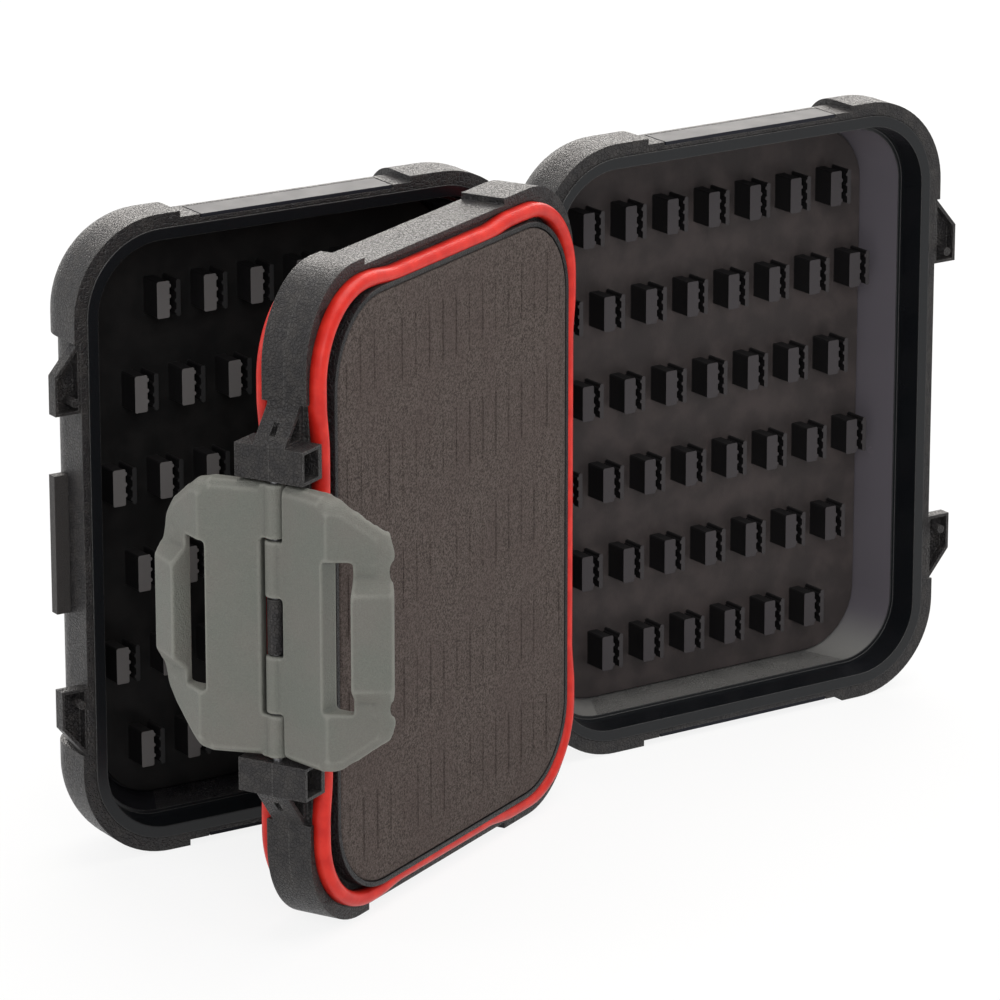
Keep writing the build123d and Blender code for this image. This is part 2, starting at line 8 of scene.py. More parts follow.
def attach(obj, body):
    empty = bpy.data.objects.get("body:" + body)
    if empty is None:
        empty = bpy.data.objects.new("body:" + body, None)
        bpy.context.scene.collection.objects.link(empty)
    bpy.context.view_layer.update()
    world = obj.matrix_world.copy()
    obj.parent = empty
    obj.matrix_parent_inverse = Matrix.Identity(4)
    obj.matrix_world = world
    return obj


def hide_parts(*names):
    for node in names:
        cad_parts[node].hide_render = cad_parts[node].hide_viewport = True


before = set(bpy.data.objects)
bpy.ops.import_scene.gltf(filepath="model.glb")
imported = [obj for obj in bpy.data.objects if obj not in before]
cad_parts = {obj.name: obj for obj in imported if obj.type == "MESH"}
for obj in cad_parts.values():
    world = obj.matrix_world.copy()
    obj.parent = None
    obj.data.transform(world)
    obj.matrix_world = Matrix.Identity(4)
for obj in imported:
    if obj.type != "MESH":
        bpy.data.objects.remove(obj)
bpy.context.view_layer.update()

# Camera. A long lens above and to the right of the middle leaf, as in the photograph: the hinge
# line is at the far side and the latches are nearest. Places, reaches and sizes of the camera,
# the lamps and the floor are in metres, the lens and every other size are in millimetres.
MM = 0.001
HINGE_Y = 96.3
EYE = Vector((0.6401, HINGE_Y * MM - 1.1318, 0.4692))
SIGHT = Vector((-0.47851, 0.82757, -0.29354))
ACROSS = Vector((0.86570, 0.50056, 0.0))
LENS, SENSOR = 210.3, 36.0
NEAREST, FARTHEST = 0.05, 20.0

lens = bpy.data.cameras.new("camera")
lens.lens, lens.sensor_width = LENS, SENSOR
lens.clip_start, lens.clip_end = NEAREST, FARTHEST
camera = bpy.data.objects.new("camera", lens)
rise = ACROSS.cross(SIGHT).normalized()
camera.matrix_world = Matrix((*zip(ACROSS, rise, -SIGHT, EYE), (0, 0, 0, 1)))
bpy.context.scene.collection.objects.link(camera)
bpy.context.scene.camera = camera
bpy.context.scene.view_settings.view_transform = "Standard"


# Frame halves. Two black mouldings joined on the leaf's mid-plane, with a leather-like grain of
# small closed cells, edges rubbed grey and painted paler there as highlight, and a darker lip
# round the foam. This section also has the wire, the nodes and the finish that all materials are
# made with.
class Wire:
    """A shader socket; arithmetic on it adds Math nodes to its tree."""

    def __init__(self, nodes, socket):
        self.nodes = nodes
        self.socket = socket

    def maths(self, operation, *values):
        """Result of one Math operation on wires and numbers."""
        return self.nodes.node("ShaderNodeMath", {"operation": operation}, *values)

    def __add__(self, other):
        return self.maths("ADD", self, other)

    def __radd__(self, other):
        return self.maths("ADD", other, self)

    def __sub__(self, other):
        return self.maths("SUBTRACT", self, other)

    def __rsub__(self, other):
        return self.maths("SUBTRACT", other, self)

    def __mul__(self, other):
        return self.maths("MULTIPLY", self, other)

    def __rmul__(self, other):
        return self.maths("MULTIPLY", other, self)

    def __truediv__(self, other):
        return self.maths("DIVIDE", self, other)

    def __rtruediv__(self, other):
        return self.maths("DIVIDE", other, self)

    def __abs__(self):
        return self.maths("ABSOLUTE", self)

    def root(self):
        return self.maths("SQRT", self)

    def most(self, other):
        return self.maths("MAXIMUM", self, other)

    def between(self, low, high):
        """Runs smoothly from 0 at `low` to 1 at `high`."""
        settings = {"interpolation_type": "SMOOTHSTEP"}
        return self.nodes.node("ShaderNodeMapRange", settings, self, low, high, 0.0, 1.0)


class Nodes:
    """Node tree of a material or of the world."""

    def __init__(self, owner):
        owner.use_nodes = True
        self.tree = owner.node_tree

    def join(self, wire, socket):
        """Links a wire to an input."""
        self.tree.links.new(wire.socket, socket)

    def node(self, kind, settings, *inputs, output=0, **named):
        """Adds a node, sets it up, joins or fills its sockets and returns one output."""
        made = self.tree.nodes.new(kind)
        for key, value in settings.items():
            setattr(made, key, value)
        for key, value in [*enumerate(inputs), *named.items()]:
            if isinstance(value, Wire):
                self.join(value, made.inputs[key])
            elif value is not None:
                made.inputs[key].default_value = value
        return Wire(self, made.outputs[output])


class Finish(Nodes):
    """Material of a piece. Distances with `mm` in their names are millimetres."""

    EDGE_SAMPLES = 6
    WANDER_PITCH, WANDER_REACH, CREASE_WIDTH = 0.7, 0.9, 0.16

    def __init__(self, name, colour, roughness, specular=0.5):
        self.material = bpy.data.materials.new(name)
        super().__init__(self.material)
        self.shader = self.tree.nodes["Principled BSDF"]
        self.shader.inputs["Base Color"].default_value = (*colour, 1.0)
        self.shader.inputs["Roughness"].default_value = roughness
        self.shader.inputs["Specular IOR Level"].default_value = specular
        self.place = self.node("ShaderNodeTexCoord", {}, output="Object")

    def feed(self, name, wire):
        """Links a wire to one of the shader's inputs."""
        self.join(wire, self.shader.inputs[name])

    def noise(self, cell_mm, detail, rough=0.5):
        """Noise whose blots are about `cell_mm` across."""
        return self.node("ShaderNodeTexNoise", {}, Vector=self.place, Scale=1.0 / (cell_mm * MM),
                         Detail=detail, Roughness=rough)

    def mix(self, factor, first, second):
        """Colour from the first at factor 0 to the second at 1, each a colour or a wire. A Mix
        node has its two colours at inputs 6 and 7, and their mixture at output 2."""
        first, second = ((*colour, 1.0) if isinstance(colour, tuple) else colour
                         for colour in (first, second))
        return self.node("ShaderNodeMix", {"data_type": "RGBA"}, factor, *[None] * 5,
                         first, second, output=2)

    def attribute(self, name):
        """Number that the mesh keeps at its points under `name`."""
        return self.node("ShaderNodeAttribute", {"attribute_name": name}, output="Fac")

    def dot(self, first, second):
        """Dot product of two vectors."""
        return self.node("ShaderNodeVectorMath", {"operation": "DOT_PRODUCT"}, first, second,
                         output="Value")

    def along(self, direction, origin):
        """Distance in millimetres along a unit direction, from a point given in metres: the dot
        product of the direction and the way from the point."""
        moved = self.node("ShaderNodeVectorMath", {"operation": "SUBTRACT"}, self.place, origin)
        return self.dot(moved, direction) / MM

    def facing(self, direction):
        """How far the surface faces a unit direction, from -1 to 1: the dot product of its
        normal and the direction."""
        return self.dot(self.node("ShaderNodeTexCoord", {}, output="Normal"), direction)

    def rounded(self, radius_mm):
        """Normal of the surface as if its edges had the given radius."""
        return self.node("ShaderNodeBevel", {"samples": self.EDGE_SAMPLES}, Radius=radius_mm * MM)

    def edge_mask(self, radius_mm, low, high):
        """1 at edges and 0 on faces: 1 minus the dot product of the rounded and the true normal,
        stretched from `low` to `high`."""
        true = self.node("ShaderNodeNewGeometry", {}, output="Normal")
        return (1 - self.dot(self.rounded(radius_mm), true)).between(low, high)

    def relief(self, height, depth_mm, edge_mm=0.0):
        """Bump of the given depth, over edges rounded to the given radius."""
        edge = self.rounded(edge_mm) if edge_mm else None
        self.feed("Normal", self.node("ShaderNodeBump", {}, Height=height, Distance=depth_mm * MM,
                                      Strength=1.0, Normal=edge))

    def leather(self, cell_mm):
        """Leather grain, from 0 in the creases to 1 on the cells: the distance to the borders of
        cells, whose places a wider noise moves about."""
        cell = cell_mm * MM
        wander = self.node("ShaderNodeTexNoise", {}, Vector=self.place,
                           Scale=self.WANDER_PITCH / cell, Detail=2.0, output="Color")
        moved = self.node("ShaderNodeVectorMath", {"operation": "MULTIPLY_ADD"}, wander,
                          (self.WANDER_REACH * cell,) * 3, self.place)
        creases = self.node("ShaderNodeTexVoronoi", {"feature": "DISTANCE_TO_EDGE"}, Vector=moved,
                            Scale=1.0 / cell)
        return creases.between(0.0, self.CREASE_WIDTH)


BLACK = (0.019, 0.0175, 0.0185)
WORN_BLACK = (0.034, 0.031, 0.030)
EDGE_WEAR_AND_HIGHLIGHT = (0.16, 0.155, 0.15)
GRAIN_CELL, BLOT_CELL, FINE_CELL = 0.85, 3.0, 0.2
GRAIN_DEPTH = 0.32
WORN_RADIUS = 0.4


class GrainedBlack(Finish):
    """Black moulding with leather grain, paler blots, fine grain, and edges rubbed grey and painted
    pale as highlight.
    """

    def __init__(self, name):
        super().__init__(name, BLACK, roughness=0.4, specular=0.3)
        self.grain = self.leather(GRAIN_CELL)
        self.ground = self.noise(BLOT_CELL, detail=4.0)
        self.fine = self.noise(FINE_CELL, detail=2.0)
        self.worn_lit_edges = self.edge_mask(WORN_RADIUS, 0.03, 0.25) * self.fine.between(0.25, 0.6)
        self.tone = self.mix(self.ground.between(0.38, 0.68), BLACK, WORN_BLACK)

    def roughness(self, base):
        """Smoother on the cells of the grain and rougher on the blots."""
        return base - 0.16 * self.grain + 0.1 * self.ground

    def height(self):
        """Weighted sum of the leather grain, the fine grain and the blots."""
        return self.grain * 0.8 + self.fine * 0.3 + self.ground * 0.6


def dress(node_name, finish):
    """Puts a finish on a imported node."""
    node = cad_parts[node_name]
    node.data.materials.clear()
    node.data.materials.append(finish.material)


SIDES = {"left": -1, "right": 1}
HEIGHT = 150.0
FRAME_EDGE = 0.45
LIP_BLACK = (0.0065, 0.0058, 0.0068)
LIP_HALF_U, LIP_HALF_V, LIP_MID_U = 51.6, 67.7, 59.65
LIP_BLUR = 0.2

frame_black = GrainedBlack("frame_black")
from_mid_u = frame_black.along((0.0, -1.0, 0.0), (0.0, (HINGE_Y - LIP_MID_U) * MM, 0.0))
from_mid_v = frame_black.along((0.0, 0.0, 1.0), (0.0, 0.0, HEIGHT * MM / 2))
in_lip = ((LIP_HALF_U - abs(from_mid_u)).between(-LIP_BLUR, LIP_BLUR)
          * (LIP_HALF_V - abs(from_mid_v)).between(-LIP_BLUR, LIP_BLUR))
tone = frame_black.mix(in_lip, frame_black.tone, LIP_BLACK)
# Painted highlight and wear: the edges are rubbed grey and painted paler as highlight, less on the
# lip.
worn_lit_edges = frame_black.worn_lit_edges * (0.7 - 0.55 * in_lip)
frame_black.feed("Base Color", frame_black.mix(worn_lit_edges, tone, EDGE_WEAR_AND_HIGHLIGHT))
frame_black.feed("Roughness", frame_black.roughness(0.47))
frame_black.relief(frame_black.height(), GRAIN_DEPTH, FRAME_EDGE)
for word in SIDES:
    dress(f"frame_half_{word}", frame_black)


# Sealing rings. Red silicone rings in the groove round each foam pad, with a round top and a flat
# foot. They step inward a little where the band steps back between its corner bumpers.
RING_HALF_U, RING_HALF_V = 54.25, 70.4
RING_MID_U, RING_MID_V = 59.65, 75.0
RING_CORNER = 19.0
RING_HALF_WIDTH = 1.7
RING_FOOT_W, RING_FACE_W = 5.2, 8.6
RING_STEP, RING_STEP_RUN = 1.1, 11.0
RING_POINTS, CROWN_POINTS = 620, 17
BUMPER_END_U = (32.4, 92.6)
BUMPER_END_V = (27.3, 122.7)
SEAL_RED = (0.6, 0.024, 0.015)
DEEP_RED, BRIGHT_RED = (0.53, 0.014, 0.009), (0.66, 0.028, 0.017)


def on_leaf(side, u, v, w):
    """Points on side -1 or +1 of the leaf, in metres, from u away from the hinge line, v up and w
    out of the leaf: x is side times w, y is the hinge line's less u, and z is v."""
    return np.stack(np.broadcast_arrays(side * w, HINGE_Y - u, v), axis=-1) * MM


def rounded_loop(half_u, half_v, radius, count):
    """Rounded rectangle round the origin: arc centres and the outward angle both run straight
    between its eight joints, and a point is the centre plus the radius times the outward
    direction."""
    reach_u, reach_v = half_u - radius, half_v - radius
    arc = math.pi / 2 * radius
    runs = np.cumsum([0, 2 * reach_v, arc, 2 * reach_u, arc, 2 * reach_v, arc, 2 * reach_u, arc])
    s = np.linspace(0, runs[-1], count, endpoint=False)
    turn = np.interp(s, runs, np.radians([0, 0, 90, 90, 180, 180, 270, 270, 360]))
    centre_u = np.interp(s, runs, reach_u * np.array([1, 1, 1, -1, -1, -1, -1, 1, 1]))
    centre_v = np.interp(s, runs, reach_v * np.array([-1, 1, 1, 1, 1, -1, -1, -1, -1]))
    outward = np.stack([np.cos(turn), np.sin(turn)], axis=-1)
    return np.stack([centre_u, centre_v], axis=-1) + radius * outward, outward


def grid_faces(rows, columns, closed_rows=False, closed_columns=False, first=0):
    """Quads between neighbouring points of a grid that is numbered row by row from `first`; a
    closed direction also joins its last line to its first."""
    r = np.arange(rows if closed_rows else rows - 1)[:, None]
    c = np.arange(columns if closed_columns else columns - 1)[None, :]
    r1, c1 = (r + 1) % rows, (c + 1) % columns
    corners = np.broadcast_arrays(r * columns + c, r1 * columns + c, r1 * columns + c1,
                                  r * columns + c1)
    return (np.stack(corners, axis=-1).reshape(-1, 4) + first).tolist()


def smooth_step(x, low, high):
    """0 below `low`, 1 above `high` and 3t^2 - 2t^3 between them."""
    t = np.clip((x - low) / (high - low), 0, 1)
    return t * t * (3 - 2 * t)


def window(x, low, high, run):
    """1 between `low` and `high`, falling smoothly to 0 over `run` outside them."""
    return smooth_step(x, low - run, low) * (1 - smooth_step(x, high, high + run))


def make_piece(name, points, faces, finish, body, replaced):
    """Closed smooth mesh with its normals outward, which rides on a body in place of a node."""
    mesh = bpy.data.meshes.new(name)
    mesh.from_pydata(points.reshape(-1, 3).tolist(), [], faces)
    work = bmesh.new()
    work.from_mesh(mesh)
    bmesh.ops.recalc_face_normals(work, faces=work.faces)
    work.to_mesh(mesh)
    work.free()
    mesh.shade_smooth()
    mesh.materials.append(finish.material)
    piece = bpy.data.objects.new(name, mesh)
    bpy.context.scene.collection.objects.link(piece)
    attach(piece, body)
    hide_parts(replaced)
    return piece


seal_red = Finish("seal_red", SEAL_RED, roughness=0.36, specular=0.26)
mottle = seal_red.noise(4.0, detail=3.0).between(0.3, 0.7)
seal_red.feed("Base Color", seal_red.mix(mottle, DEEP_RED, BRIGHT_RED))
seal_red.feed("Roughness", 0.32 + 0.14 * seal_red.noise(0.8, detail=3.0))
seal_red.relief(seal_red.noise(1.5, detail=3.0), depth_mm=0.04)

path, outward = rounded_loop(RING_HALF_U, RING_HALF_V, RING_CORNER, RING_POINTS)
path_u, path_v = path[:, 0] + RING_MID_U, path[:, 1] + RING_MID_V
between_bumpers = np.maximum(*(
    window(place, low + RING_STEP_RUN, high - RING_STEP_RUN, RING_STEP_RUN)
    for place, (low, high) in ((path_u, BUMPER_END_U), (path_v, BUMPER_END_V))))
crown = np.linspace(0, math.pi, CROWN_POINTS)
across = np.concatenate([RING_HALF_WIDTH * np.cos(crown), [-RING_HALF_WIDTH, RING_HALF_WIDTH]])
up = np.concatenate([RING_FACE_W - RING_HALF_WIDTH * (1 - np.sin(crown)),
                     [RING_FOOT_W, RING_FOOT_W]])
moved_out = across[None, :] - RING_STEP * between_bumpers[:, None]
ring_u = path_u[:, None] + outward[:, :1] * moved_out
ring_v = path_v[:, None] + outward[:, 1:] * moved_out
for word, side in SIDES.items():
    points = on_leaf(side, ring_u, ring_v, up[None, :])
    make_piece(f"sealing_ring_{word}", points, grid_faces(*points.shape[:2], True, True), seal_red,
               "leaf", f"gasket_{word}")


# Foam pads. Closed-cell foam held in the raised lip, cut with rows of short slits that jig hooks
# are pressed into; each slit stands open by its own small amount and its rims are a little raised.
FOAM_HALF_U, FOAM_HALF_V = 49.75, 67.4
FOAM_MID_U = 59.45
FOAM_CORNER = 18.5
FOAM_BACK_W, FOAM_FACE_W = 2.05, 9.0
FOAM_EDGE = 0.9
SLIT_COLUMNS, SLIT_ROWS = 17, 5
SLIT_PITCH_U, SLIT_PITCH_V = 5.8, 26.3
SLIT_LENGTH, SLIT_TAPER = 15.0, 1.5
SLIT_HALF_WIDTH, SLIT_REACH = 0.27, 0.5
SLIT_DEPTH = 2.6
SLIT_OPENNESS = (0.2, 1.0)
SLIT_CLEARANCE = (2.0, 3.5)
RIM_RISE, RIM_TOP, RIM_RUN = 0.16, 0.02, 0.3
LINES_ALONG = 200
EDGE_SHARES_U, EDGE_SHARES_V = np.array([0.0, 0.12, 0.3, 0.6, 1.0]), np.array([0.1, 0.3, 0.6])
BORDER_LINES = [2, 4, 6]
FOAM_BROWN = (0.085, 0.066, 0.058)
SPECK_DARK, SPECK_PALE = (0.04, 0.0305, 0.0275), (0.145, 0.12, 0.11)
CLOUD_BROWN = (0.082, 0.062, 0.058)


def grid_rim(rows, columns):
    """Numbers of a grid's border points in order round it."""
    number = np.arange(rows * columns).reshape(rows, columns)
    return np.concatenate([number[0], number[1:, -1], number[-1, -2::-1], number[-2:0:-1, 0]])


def nearest(x, pitch, count):
    """Which of `count` lines, set evenly about 0 with the given pitch, is nearest to x, and how
    far it is away."""
    line = np.clip(np.rint(x / pitch + (count - 1) / 2), 0, count - 1).astype(int)
    return line, np.abs(x - (line - (count - 1) / 2) * pitch)


foam_brown = Finish("foam_brown", FOAM_BROWN, roughness=0.92, specular=0.15)
specks = foam_brown.noise(0.5, detail=5.0, rough=0.8)
clouds = foam_brown.noise(14.0, detail=3.0).between(0.35, 0.7)
tone = foam_brown.mix(specks.between(0.38, 0.64), SPECK_DARK, SPECK_PALE)
foam_brown.feed("Base Color", foam_brown.mix(clouds * 0.35, tone, CLOUD_BROWN))
foam_brown.relief(specks + foam_brown.noise(1.4, detail=3.0) * 0.6, depth_mm=0.3)

slit_u = (np.arange(SLIT_COLUMNS) - (SLIT_COLUMNS - 1) / 2) * SLIT_PITCH_U
near_slit = np.array([-SLIT_REACH, -SLIT_HALF_WIDTH, 0.0, SLIT_HALF_WIDTH, SLIT_REACH])
border = FOAM_HALF_U - np.concatenate([FOAM_EDGE * EDGE_SHARES_U, BORDER_LINES])
lines_u = np.unique(np.concatenate([
    (slit_u[:, None] + near_slit).ravel(), slit_u[:-1] + SLIT_PITCH_U / 2, border, -border]))
ends = 1 - EDGE_SHARES_V * FOAM_EDGE / FOAM_HALF_V
lines_t = np.unique(np.concatenate([np.linspace(-1, 1, LINES_ALONG), ends, -ends]))
into_corner = np.clip(np.abs(lines_u) - (FOAM_HALF_U - FOAM_CORNER), 0, FOAM_CORNER)
half_length = FOAM_HALF_V - FOAM_CORNER + np.sqrt(FOAM_CORNER ** 2 - into_corner ** 2)
foam_u = np.repeat(lines_u[:, None], len(lines_t), axis=1)
foam_v = half_length[:, None] * lines_t[None, :]

beyond = np.hypot(np.clip(np.abs(foam_u) - (FOAM_HALF_U - FOAM_CORNER), 0, None),
                  np.clip(np.abs(foam_v) - (FOAM_HALF_V - FOAM_CORNER), 0, None))
inset = np.minimum(np.minimum(FOAM_HALF_U - np.abs(foam_u), FOAM_HALF_V - np.abs(foam_v)),
                   FOAM_CORNER - beyond)
short = np.clip(FOAM_EDGE - inset, 0, FOAM_EDGE)
rounding = FOAM_EDGE - np.sqrt(FOAM_EDGE ** 2 - short ** 2)

rng = np.random.default_rng(11)
openness = rng.uniform(*SLIT_OPENNESS, (SLIT_COLUMNS, SLIT_ROWS)) ** 1.5
column, from_slit = nearest(foam_u, SLIT_PITCH_U, SLIT_COLUMNS)
row, from_middle = nearest(foam_v, SLIT_PITCH_V, SLIT_ROWS)
past_end = smooth_step(from_middle, SLIT_LENGTH / 2 - SLIT_TAPER, SLIT_LENGTH / 2)
open_here = openness[column, row] * (1 - past_end) * smooth_step(inset, *SLIT_CLEARANCE)
groove = (1 - smooth_step(from_slit, 0, SLIT_HALF_WIDTH * 0.9)) * SLIT_DEPTH * open_here
rims = window(from_slit, SLIT_HALF_WIDTH, SLIT_HALF_WIDTH + RIM_TOP, RIM_RUN) * RIM_RISE * open_here
rims = rims * (from_slit > SLIT_HALF_WIDTH / 2)
foam_w = FOAM_FACE_W - RIM_RISE - rounding + (rims - groove)

rim = grid_rim(*foam_u.shape)
for word, side in SIDES.items():
    face = on_leaf(side, foam_u + FOAM_MID_U, foam_v + RING_MID_V, foam_w).reshape(-1, 3)
    back = face[rim].copy()
    back[:, 0] = side * FOAM_BACK_W * MM
    back_rim = len(face) + np.arange(len(rim))
    walls = np.stack([rim, np.roll(rim, -1), np.roll(back_rim, -1), back_rim], axis=-1).tolist()
    faces = grid_faces(*foam_u.shape) + walls + [back_rim.tolist()]
    pad = make_piece(f"slit_foam_{word}", np.concatenate([face, back]), faces, foam_brown, "leaf",
                     f"foam_pad_{word}")


# Pins. Drawn steel rods: two short ones pressed through the hinge barrels and one through the
# latch knuckles. Fine marks of drawing and handling make their shine uneven.
PIN_STEEL = (0.33, 0.33, 0.34)

pin_steel = Finish("pin_steel", PIN_STEEL, roughness=0.3)
pin_steel.shader.inputs["Metallic"].default_value = 1.0
pin_steel.feed("Roughness", 0.22 + 0.2 * pin_steel.noise(0.8, detail=2.0))
pin_steel.relief(pin_steel.noise(0.5, detail=2.0), depth_mm=0.01)
for name in ("hinge_pin_lower", "hinge_pin_upper", "latch_pin"):
    dress(name, pin_steel)


# Cover shells and catch ribs. Deep black mouldings, grained outside and polished inside, where
# the flared wall of the tray mirrors the room. The right tray's flared wall is also painted paler
# as a sheen, palest where it looks up, the left tray's is painted dark as shade, and the inner
# wall of the rim is painted near black as shade. The strip-shaped catch rib that each latch snaps
# over is let into the wall and is grained too.
COVER_OPEN = {"left": 27.6, "right": 154.2}
WALL_HALF_U, WALL_HALF_V, WALL_MID_U = 57.45, 73.6, 61.35
WALL_CORNER = 20.6
LEDGE_W = 15.6
ZONE_BLUR = 0.2
MOUTH_INSET, FLARE_INSET = (1.7, 1.9), (4.2, 4.5)
COVER_EDGE, RIB_EDGE = 0.4, 0.3
# Painted shade on the inner wall of the rim.
MOUTH_SHADE = (0.006, 0.007, 0.0085)
# Painted light on the flared wall, where it looks sideways or down and where it looks up: the
# left tray's is painted near black as shade, the right tray's paler as a sheen, palest looking up.
FLARE_LIGHT_AND_SHADE = {"left": ((0.009, 0.009, 0.011), (0.009, 0.009, 0.011)),
               "right": ((0.1, 0.092, 0.107), (0.19, 0.19, 0.185))}


def cover_axes(word):
    """Unit directions of a cover's u away from the hinge line, v along it and w outward, and the
    point in metres where they start: the leaf's directions turned by the opening angle."""
    side, turn = SIDES[word], math.radians(COVER_OPEN[word])
    along_u = (side * math.sin(turn), -math.cos(turn), 0.0)
    along_v = (0.0, 0.0, -float(side))
    along_w = (side * math.cos(turn), math.sin(turn), 0.0)
    return along_u, along_v, along_w, (0.0, HINGE_Y * MM, 0.0 if side < 0 else HEIGHT * MM)


for word in SIDES:
    *axes, start = cover_axes(word)
    cover = GrainedBlack(f"cover_black_{word}")
    u, v, w = (cover.along(axis, start) for axis in axes)
    corner_u = (abs(u - WALL_MID_U) - (WALL_HALF_U - WALL_CORNER)).most(0.0)
    corner_v = (abs(v - HEIGHT / 2) - (WALL_HALF_V - WALL_CORNER)).most(0.0)
    inset = WALL_CORNER - (corner_u * corner_u + corner_v * corner_v).root()
    past_ledge = w.between(LEDGE_W, LEDGE_W + ZONE_BLUR)
    toward_mouth = (0 - cover.facing(axes[2])).between(0.02, 0.08)
    mouth = inset.between(*MOUTH_INSET) * (1 - past_ledge)
    flare = inset.between(*FLARE_INSET) * past_ledge * toward_mouth
    smooth = mouth.most(flare)
    # Edges rubbed grey and painted paler as highlight, but not on the flared wall.
    worn_lit_edges = cover.worn_lit_edges * (1 - flare)
    tone = cover.mix(worn_lit_edges * 0.6, cover.tone, EDGE_WEAR_AND_HIGHLIGHT)
    # Painted shade: the inner wall of the rim is painted near black.
    tone = cover.mix(mouth * (1 - worn_lit_edges), tone, MOUTH_SHADE)
    # Painted light: the flared wall is painted per tray as lit or shaded, and paler where it faces
    # up.
    lit = cover.facing((0.0, 0.0, 1.0)).between(0.25, 0.95)
    cover.feed("Base Color", cover.mix(flare, tone, cover.mix(lit, *FLARE_LIGHT_AND_SHADE[word])))
    polished = 0.2 + 0.1 * cover.noise(9.0, detail=3.0)
    cover.feed("Roughness", cover.roughness(0.44) * (1 - smooth) + polished * smooth)
    cover.relief(cover.height() * (1 - smooth) + cover.fine * 0.03, GRAIN_DEPTH, COVER_EDGE)
    dress(f"cover_shell_{word}", cover)

rib_black = Finish("rib_black", WORN_BLACK, roughness=0.5, specular=0.3)
rib_black.feed("Roughness", 0.42 + 0.2 * rib_black.noise(1.0, detail=3.0))
rib_height = rib_black.leather(0.6) + rib_black.noise(FINE_CELL, detail=2.0) * 0.4
rib_black.relief(rib_height, depth_mm=0.06, edge_mm=RIB_EDGE)
for word in SIDES:
    dress(f"catch_rib_{word}", rib_black)


# Smooth strips. Polished dark strips pressed into the recesses in the top and bottom of each
# cover, flush with the grained moulding round them.
STRIP_BLACK = (0.022, 0.023, 0.029)
STRIP_EDGE = 0.3

strip_black = Finish("strip_black", STRIP_BLACK, roughness=0.25, specular=0.03)
strip_black.feed("Roughness", 0.24 + 0.14 * strip_black.noise(6.0, detail=3.0))
strip_black.relief(strip_black.noise(5.0, detail=2.0), depth_mm=0.03, edge_mm=STRIP_EDGE)
for word in SIDES:
    dress(f"top_strip_{word}", strip_black)
    dress(f"bottom_strip_{word}", strip_black)


# Post mats. Moulded rubber on the tray's floor: rows of posts, each of a thick and a thin wall on
# either side of a slit whose faces carry three round nubs, the two walls' nubs set between each
# other. In the left tray the floor and the thin walls' tops are painted dark as shade, and the
# thick walls' tops are painted pale as highlight.
MAT_BACK_W, MAT_FACE_W, POST_FACE_W = 25.95, 25.0, 18.5
MAT_LOW_U, MAT_HIGH_U = 14.2, 107.9
MAT_MARGIN_V, MAT_CORNER, MAT_EDGE = 8.7, 14.7, 0.2
MAT_POINTS = 160
POST_ROWS, POST_COLUMNS = 6, 8
POST_FIRST_U, POST_PITCH_U = 106.0, 12.1286
POST_MARGIN_V, POST_SHIFT_V = 22.2, 0.5
POST_WIDTH, POST_LENGTH = 5.8, 8.36
THICK_WALL, SLIT_WIDTH = 2.95, 2.0
NUB_RADIUS, NUB_PITCH, NUB_SHIFT = 0.42, 2.5, 0.62
NUB_TURN = np.radians([-90, -40, 0, 40, 90])
POST_BEVEL, POST_EDGE = 0.22, 0.14
POST_ROOT, POST_FOOT, POST_FOOT_RISE = 0.2, 0.16, 0.25
SHARP = math.radians(35)
TOP_FADE_W, FLOOR_FADE = (18.58, 18.75), 0.3
# Rubber, and the painted shade on the posts' sides.
MAT_RUBBER, POST_SIDE_SHADE = (0.04, 0.033, 0.033), (0.007, 0.0065, 0.007)
# Tones of the floor's dark and pale blots, and of the tops of the thin and the thick walls; the
# left tray's floor and thin tops are painted dark as shade and its thick tops pale as highlight.
FLOOR_BLOTS_AND_SHADE = {"left": ((0.006, 0.006, 0.0062), (0.011, 0.0105, 0.0105)),
               "right": ((0.034, 0.0285, 0.0285), (0.052, 0.0425, 0.042))}
TOP_LIGHT_AND_SHADE = {"left": ((0.02, 0.02, 0.021), (0.125, 0.12, 0.12)),
             "right": ((0.036, 0.033, 0.035), (0.042, 0.038, 0.041))}


def on_cover(word, u, v, w):
    """Points of a cover as it stands open, in metres: its start plus u, v and w along its axes."""
    along_u, along_v, along_w, start = (np.array(axis) for axis in cover_axes(word))
    u, v, w = (value[..., None] for value in (u, v, w))
    return start + (u * along_u + v * along_v + w * along_w) * MM


def post_wall(back, face, toward, shift):
    """Outline of one wall in u, v round the post's middle: a straight back with small corner
    bevels, and a face with three half-round nubs. `toward` is the way that the nubs point."""
    half, bevel = POST_LENGTH / 2, POST_BEVEL
    nub_v = (np.arange(3) - 1)[:, None] * NUB_PITCH + shift + NUB_RADIUS * np.sin(NUB_TURN)
    nub_u = np.broadcast_to(face + toward * NUB_RADIUS * np.cos(NUB_TURN), nub_v.shape)
    low = np.array([[back, -half + bevel], [back + toward * bevel, -half],
                    [face - toward * bevel, -half], [face, -half + bevel]])
    high = low[::-1] * np.array([1, -1])
    return np.concatenate([low, np.stack([nub_u.ravel(), nub_v.ravel()], axis=-1), high])


def grown(outline, distance):
    """Closed outline moved outward by `distance` along the mean normal of each corner's two
    edges; the sign of its area tells which way is outward."""
    edges = np.roll(outline, -1, axis=0) - outline
    normals = np.stack([edges[:, 1], -edges[:, 0]], axis=-1)
    normals = normals / np.linalg.norm(normals, axis=-1, keepdims=True)
    mean = normals + np.roll(normals, 1, axis=0)
    u, v = outline.T
    area = np.sum(u * np.roll(v, -1) - v * np.roll(u, -1))
    step = math.copysign(distance, area)
    return outline + step * mean / np.linalg.norm(mean, axis=-1, keepdims=True)


